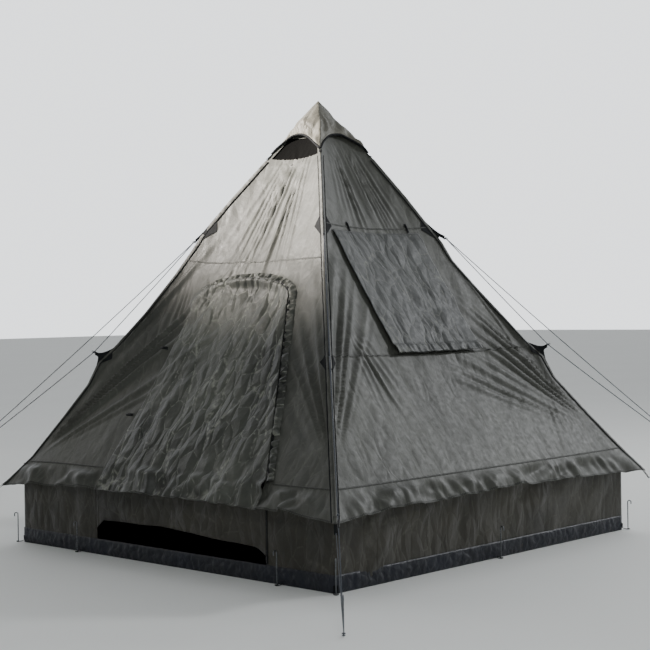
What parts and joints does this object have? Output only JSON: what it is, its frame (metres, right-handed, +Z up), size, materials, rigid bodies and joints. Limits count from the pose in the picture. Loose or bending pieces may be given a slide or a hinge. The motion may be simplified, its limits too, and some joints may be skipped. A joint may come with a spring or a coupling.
{
  "type": "teepee tent",
  "caption": "Square pyramid tent on one centre pole, with low walls, sewn-in floor, zipped front door, side window flap, vent hood, guy lines and pegs.",
  "frame": {"origin": "the middle of the floor on the ground, under the centre pole", "axes": "+Z up; the door faces -Y and the window faces +X"},
  "size_m": [3.8386, 3.8386, 2.5998],
  "materials": {
    "roof_cloth": "satin",
    "wall_cloth": "satin",
    "hood_cloth": "satin",
    "webbing": "matte",
    "rope": "matte",
    "mesh": "matte",
    "groundsheet_pe": "gloss",
    "zip_plastic": "matte",
    "moulded_plastic": "matte",
    "galvanised_steel": "satin",
    "peg_steel": "satin",
    "rubber": "matte"
  },
  "bodies": {
    "tent": {"roof_front_top": "roof_cloth", "roof_front_head": "roof_cloth", "roof_front_left": "roof_cloth", "roof_front_right": "roof_cloth", "roof_right_top": "roof_cloth", "roof_right_middle": "roof_cloth", "roof_right_bottom": "roof_cloth", "roof_back_top": "roof_cloth", "roof_back_bottom": "roof_cloth", "roof_left_top": "roof_cloth", "roof_left_middle": "roof_cloth", "roof_left_bottom": "roof_cloth", "eave_band_front": "roof_cloth", "eave_band_right": "roof_cloth", "eave_band_back": "roof_cloth", "eave_band_left": "roof_cloth", "ridge_tapes": "webbing", "vent_hood": "hood_cloth", "hood_straps": "webbing", "vent_meshes": "mesh", "apex_crown": "webbing", "wall_front_left": "wall_cloth", "wall_front_right": "wall_cloth", "wall_right": "wall_cloth", "wall_back": "wall_cloth", "wall_left": "wall_cloth", "groundsheet": "groundsheet_pe", "groundsheet_edge": "groundsheet_pe", "door_zip": "zip_plastic", "wall_zip": "zip_plastic", "door_ties": "webbing", "window_mesh": "mesh", "window_ties": "webbing", "pole_foot": "rubber", "pole_lower": "galvanised_steel", "pole_middle": "galvanised_steel", "pole_upper": "galvanised_steel", "pole_ferrules": "galvanised_steel", "pole_tip": "moulded_plastic", "upper_guy_tabs": "webbing", "lower_guy_tabs": "webbing", "eave_corner_loops": "webbing", "guy_rope_front_right": "rope", "guy_rope_back_right": "rope", "guy_rope_back_left": "rope", "guy_rope_front_left": "rope", "eave_cords": "rope", "wall_peg_loops": "webbing"},
    "door_flap": {"door_flap": "roof_cloth"},
    "door_panel": {"door_panel": "wall_cloth"},
    "window_flap": {"window_flap": "roof_cloth"},
    "door_zip_slider": {"door_zip_slider": "zip_plastic"},
    "wall_zip_slider": {"wall_zip_slider": "zip_plastic"},
    "guy_pegs": {"guy_pegs": "peg_steel"},
    "wall_pegs": {"wall_pegs": "peg_steel"},
    "runner_front_right": {"runner_front_right": "moulded_plastic"},
    "runner_back_right": {"runner_back_right": "moulded_plastic"},
    "runner_back_left": {"runner_back_left": "moulded_plastic"},
    "runner_front_left": {"runner_front_left": "moulded_plastic"}
  },
  "joints": [
    {"name": "door_flap_hinge", "type": "hinge", "parent": "tent", "child": "door_flap", "pos_m": [-0.495, -1.33922, 0.36453], "axis": [-0.118, -0.5127, -0.8504], "range_deg": [0, 135]},
    {"name": "door_panel_hinge", "type": "hinge", "parent": "tent", "child": "door_panel", "pos_m": [-0.561, -1.257, 0.3], "axis": [0, 0, 1], "range_deg": [0, 100]},
    {"name": "window_flap_hinge", "type": "hinge", "parent": "tent", "child": "window_flap", "pos_m": [0.47691, 0.02, 1.79468], "axis": [0, -1, 0], "range_deg": [0, 150]},
    {"name": "door_zip_slide", "type": "slide", "parent": "tent", "child": "door_zip_slider", "axis": [-0.3347, 0.4866, 0.807], "range_m": [0, 0.9]},
    {"name": "wall_zip_slide", "type": "slide", "parent": "tent", "child": "wall_zip_slider", "axis": [0, 0, 1], "range_m": [0, 0.15]},
    {"name": "runner_slide_front_right", "type": "slide", "parent": "tent", "child": "runner_front_right", "axis": [0.5138, -0.5138, -0.687], "range_m": [0, 0.35]},
    {"name": "runner_slide_back_right", "type": "slide", "parent": "tent", "child": "runner_back_right", "axis": [0.5138, 0.5138, -0.687], "range_m": [0, 0.35]},
    {"name": "runner_slide_back_left", "type": "slide", "parent": "tent", "child": "runner_back_left", "axis": [-0.5138, 0.5138, -0.687], "range_m": [0, 0.35]},
    {"name": "runner_slide_front_left", "type": "slide", "parent": "tent", "child": "runner_front_left", "axis": [-0.5138, -0.5138, -0.687], "range_m": [0, 0.35]},
    {"name": "guy_pegs_drive", "type": "slide", "parent": "tent", "child": "guy_pegs", "axis": [0, 0, 1], "range_m": [-0.13, 0]},
    {"name": "wall_pegs_drive", "type": "slide", "parent": "tent", "child": "wall_pegs", "axis": [0, 0, 1], "range_m": [-0.14, 0]}
  ]
}
